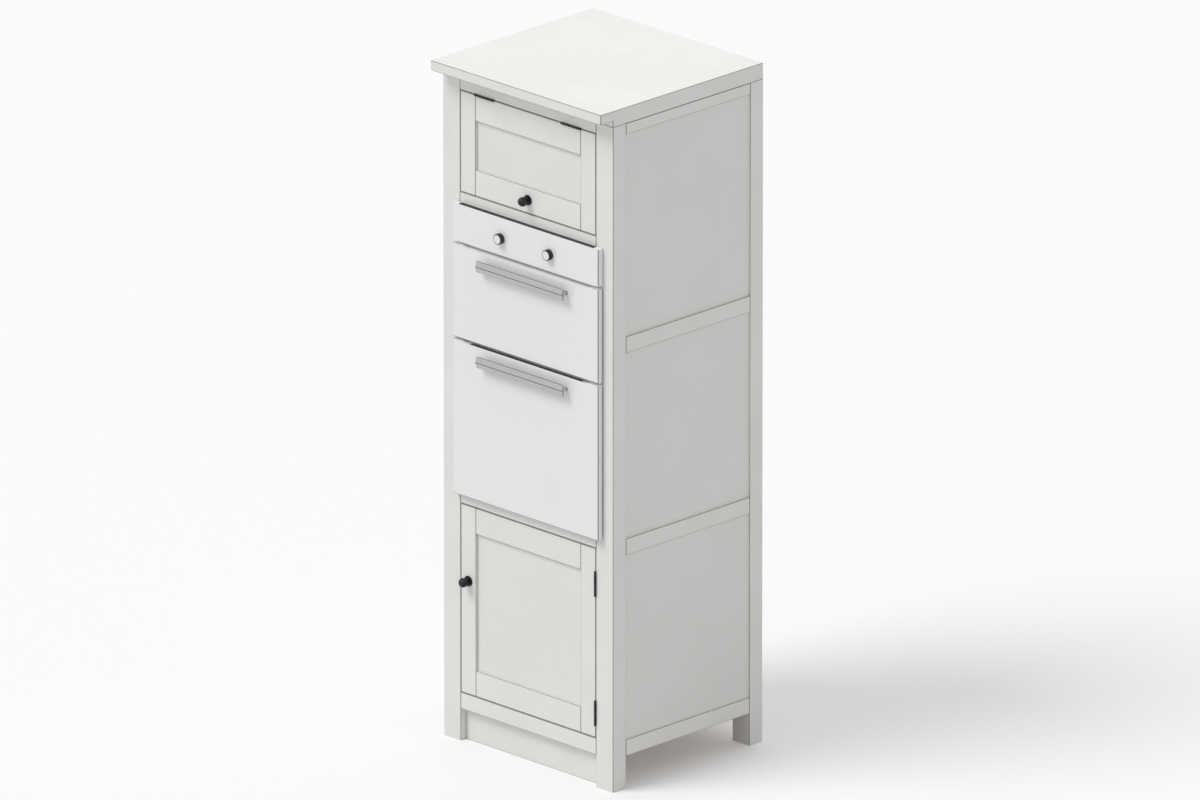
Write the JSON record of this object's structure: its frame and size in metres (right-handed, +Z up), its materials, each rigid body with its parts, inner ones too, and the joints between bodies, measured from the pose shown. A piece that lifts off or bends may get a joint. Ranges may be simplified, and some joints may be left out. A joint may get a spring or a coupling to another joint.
{
  "type": "tall oven housing unit",
  "caption": "Tall white timber housing with a lift-up cupboard, a built-in oven with separate grill and drop-down doors, and a hinged lower cupboard on a plinth.",
  "frame": {"origin": "on the floor, under the middle of the overall box", "axes": "+X to the right seen from the front, +Y to the back, +Z up"},
  "size_m": [0.692, 0.661, 2.077],
  "materials": {
    "painted_timber": "satin white paint on solid timber",
    "painted_panel": "satin white paint on board",
    "bare_timber": "clear lacquered pale timber",
    "black_iron": "black waxed iron",
    "white_enamel": "gloss white enamel",
    "dark_enamel": "dark speckled vitreous enamel",
    "satin_aluminium": "satin anodised",
    "bright_wire": "bright plated wire",
    "black_knob": "black rim and white face",
    "switch_body": "moulded",
    "seal_rubber": "matte",
    "element_sheath": "dark oxidised sheath",
    "zinc_steel": "zinc plated",
    "liner_steel": "brushed stainless"
  },
  "bodies": {
    "carcass": {"front_left_post": "painted_timber", "front_right_post": "painted_timber", "rear_left_post": "painted_timber", "rear_right_post": "painted_timber", "top_slab": "painted_timber", "front_top_rail": "painted_timber", "over_oven_rail": "painted_timber", "under_oven_rail": "painted_timber", "front_bottom_rail": "painted_timber", "left_side_rails": "painted_timber", "right_side_rails": "painted_timber", "left_side_panels": "painted_panel", "right_side_panels": "painted_panel", "rear_rails": "painted_timber", "back_panels": "painted_panel", "plinth_board": "painted_timber", "flip_cupboard_deck": "bare_timber", "oven_deck": "bare_timber", "bottom_deck": "bare_timber", "deck_battens": "bare_timber", "cupboard_shelf": "bare_timber", "shelf_pins": "zinc_steel", "hinge_frame_leaves": "black_iron", "hinge_pins": "black_iron", "oven_casing": "zinc_steel", "oven_front_frame": "white_enamel", "grill_cavity": "dark_enamel", "oven_cavity": "dark_enamel", "door_seals": "seal_rubber", "control_panel": "white_enamel", "control_switches": "switch_body", "oven_hinge_brackets": "zinc_steel", "grill_element": "element_sheath", "ring_element": "element_sheath", "fan_baffle": "dark_enamel", "grill_rack": "bright_wire", "oven_racks": "bright_wire"},
    "flip_door": {"flip_door_stiles": "painted_timber", "flip_door_rails": "painted_timber", "flip_door_panel": "painted_panel", "flip_door_knob": "black_iron", "flip_door_hinge_leaves": "black_iron"},
    "cupboard_door": {"cupboard_door_stiles": "painted_timber", "cupboard_door_rails": "painted_timber", "cupboard_door_panel": "painted_panel", "cupboard_door_knob": "black_iron", "cupboard_door_hinge_leaves": "black_iron"},
    "grill_door": {"grill_door_front": "white_enamel", "grill_door_liner": "liner_steel", "grill_door_hinges": "zinc_steel", "grill_door_pins": "zinc_steel", "grill_door_handle": "satin_aluminium"},
    "oven_door": {"oven_door_front": "white_enamel", "oven_door_liner": "liner_steel", "oven_door_hinges": "zinc_steel", "oven_door_pins": "zinc_steel", "oven_door_handle": "satin_aluminium"},
    "grill_knob": {"grill_control_knob": "black_knob"},
    "oven_knob": {"oven_control_knob": "black_knob"},
    "fan": {"oven_fan": "satin_aluminium"}
  },
  "joints": [
    {"name": "flip_door_hinge", "type": "hinge", "parent": "carcass", "child": "flip_door", "pos_m": [0, -0.284, 1.9927], "axis": [-1, 0, 0], "range_deg": [0, 90]},
    {"name": "cupboard_door_hinge", "type": "hinge", "parent": "carcass", "child": "cupboard_door", "pos_m": [0.2757, -0.284, 0.44], "axis": [0, 0, 1], "range_deg": [0, 110]},
    {"name": "grill_door_hinge", "type": "hinge", "parent": "carcass", "child": "grill_door", "pos_m": [0, -0.2925, 1.252], "axis": [1, 0, 0], "range_deg": [0, 90]},
    {"name": "oven_door_hinge", "type": "hinge", "parent": "carcass", "child": "oven_door", "pos_m": [0, -0.2925, 0.772], "axis": [1, 0, 0], "range_deg": [0, 90]},
    {"name": "grill_knob_turn", "type": "hinge", "parent": "carcass", "child": "grill_knob", "pos_m": [-0.091, -0.3005, 1.59], "axis": [0, 1, 0], "range_deg": [0, 270]},
    {"name": "oven_knob_turn", "type": "hinge", "parent": "carcass", "child": "oven_knob", "pos_m": [0.107, -0.3005, 1.59], "axis": [0, 1, 0], "range_deg": [0, 270]},
    {"name": "fan_spin", "type": "hinge", "parent": "carcass", "child": "fan", "pos_m": [0, 0.13, 0.9985], "axis": [0, 1, 0], "continuous": true}
  ]
}
